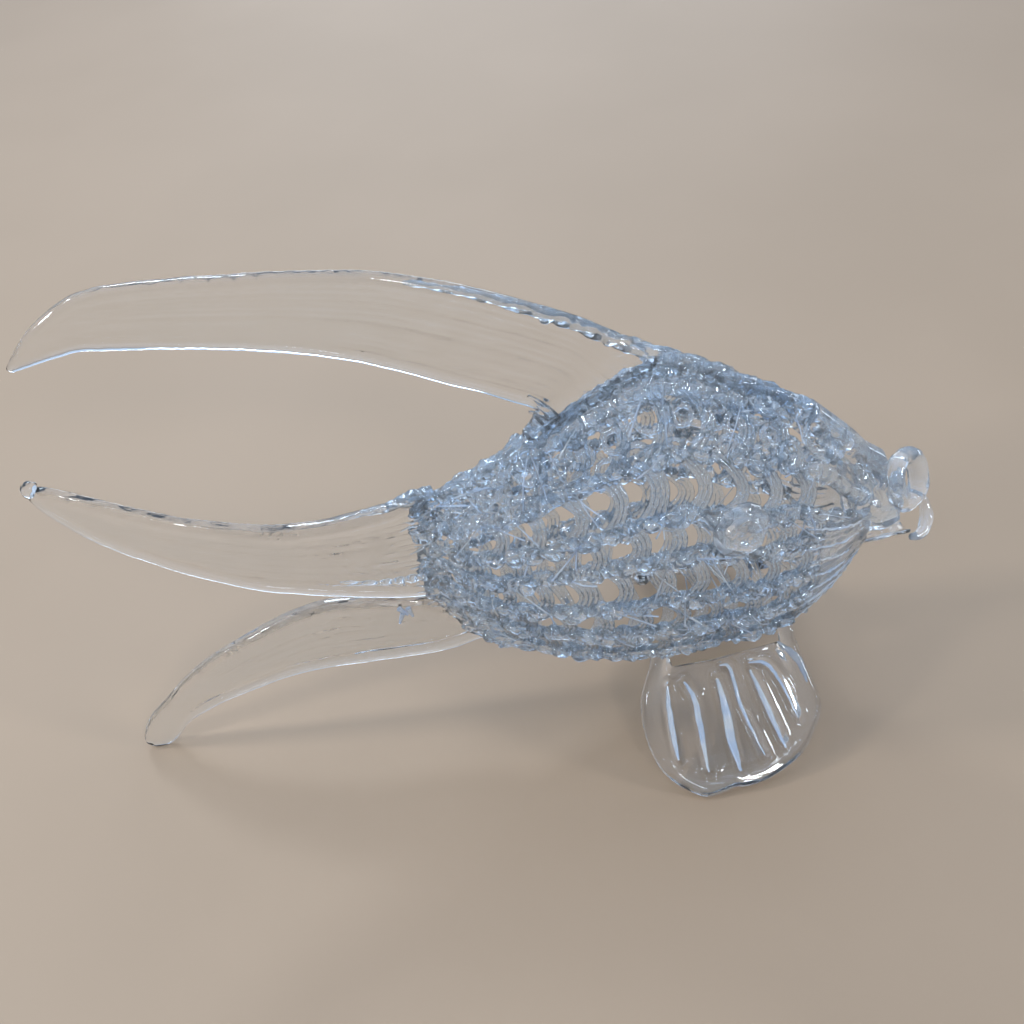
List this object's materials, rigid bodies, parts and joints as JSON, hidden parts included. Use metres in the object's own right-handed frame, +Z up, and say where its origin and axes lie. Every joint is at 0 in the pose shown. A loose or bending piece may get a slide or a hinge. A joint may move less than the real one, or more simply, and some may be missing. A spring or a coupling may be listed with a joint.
{
  "type": "fish figurine",
  "caption": "Spun-glass angelfish figurine with an open net body, long blade fins and ribbed pelvic fins that it stands on.",
  "frame": {"origin": "on the table, under the middle of the length, in the plane between the left and right sides", "axes": "+X towards the head, +Y to the left side of the fish, +Z up"},
  "size_m": [0.1118, 0.0436, 0.0778],
  "materials": {
    "spun_glass": "glossy, finely striated",
    "clear_glass": "glossy, smooth"
  },
  "bodies": {
    "root": {"belly_rod": "spun_glass", "chin": "clear_glass", "dorsal_crest": "clear_glass", "dorsal_fin": "clear_glass", "dorsal_spines": "clear_glass", "forehead_rod": "clear_glass", "left_eye": "clear_glass", "left_jaw_plate": "clear_glass", "left_pelvic_fin": "clear_glass", "left_row_rod_1": "spun_glass", "left_row_rod_2": "spun_glass", "left_row_rod_3": "spun_glass", "left_row_rod_4": "spun_glass", "left_row_rod_5": "spun_glass", "left_row_rod_6": "spun_glass", "left_row_rod_7": "spun_glass", "left_scale_row_1": "spun_glass", "left_scale_row_2": "spun_glass", "left_scale_row_3": "spun_glass", "left_scale_row_4": "spun_glass", "left_scale_row_5": "spun_glass", "left_scale_row_6": "spun_glass", "left_scale_row_7": "spun_glass", "lower_lip": "clear_glass", "lower_tail_lobe": "clear_glass", "mouth_root": "clear_glass", "ridge_rod": "spun_glass", "right_eye": "clear_glass", "right_jaw_plate": "clear_glass", "right_pelvic_fin": "clear_glass", "right_row_rod_1": "spun_glass", "right_row_rod_2": "spun_glass", "right_row_rod_3": "spun_glass", "right_row_rod_4": "spun_glass", "right_row_rod_5": "spun_glass", "right_row_rod_6": "spun_glass", "right_row_rod_7": "spun_glass", "right_scale_row_1": "spun_glass", "right_scale_row_2": "spun_glass", "right_scale_row_3": "spun_glass", "right_scale_row_4": "spun_glass", "right_scale_row_5": "spun_glass", "right_scale_row_6": "spun_glass", "right_scale_row_7": "spun_glass", "tail_root": "spun_glass", "tail_thread": "clear_glass", "upper_lip": "clear_glass", "upper_tail_bead": "clear_glass", "upper_tail_lobe": "clear_glass"}
  },
  "joints": []
}
